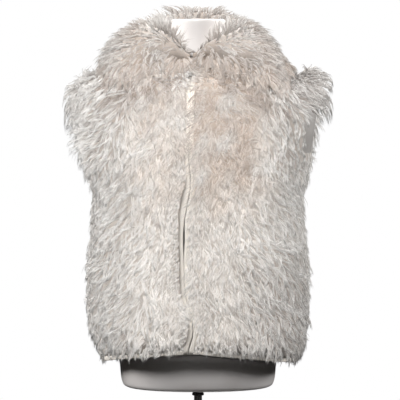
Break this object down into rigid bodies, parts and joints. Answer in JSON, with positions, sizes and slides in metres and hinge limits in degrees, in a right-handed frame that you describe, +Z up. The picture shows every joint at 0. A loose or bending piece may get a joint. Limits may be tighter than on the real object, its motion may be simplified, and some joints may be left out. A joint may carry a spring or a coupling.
{
  "type": "long-pile outdoor vest on a dress form",
  "caption": "Sleeveless cream long-pile vest with a wide fold-over collar and edge-to-edge front, worn by a smooth limbless dress form on a short round-based stand.",
  "frame": {"origin": "centre of the stand base's underside, on the floor", "axes": "+Z up, the vest's front faces -Y, the wearer's left is +X"},
  "size_m": [0.5278, 0.315, 0.8978],
  "materials": {
    "pile_cloth": "shaggy long pile, cream",
    "smooth_cloth": "smooth woven, cream",
    "white_form": "satin white shell",
    "black_plastic": "moulded black",
    "satin_steel": "satin"
  },
  "bodies": {
    "root": {"front_right": "pile_cloth", "front_left": "pile_cloth", "back": "pile_cloth", "collar": "pile_cloth", "front_band_right": "smooth_cloth", "front_band_left": "smooth_cloth", "hem_band_right": "smooth_cloth", "hem_band_left": "smooth_cloth", "hem_band_back": "smooth_cloth", "dress_form": "white_form", "stand_socket": "black_plastic", "stand_pole": "satin_steel", "stand_base": "satin_steel"}
  },
  "joints": []
}
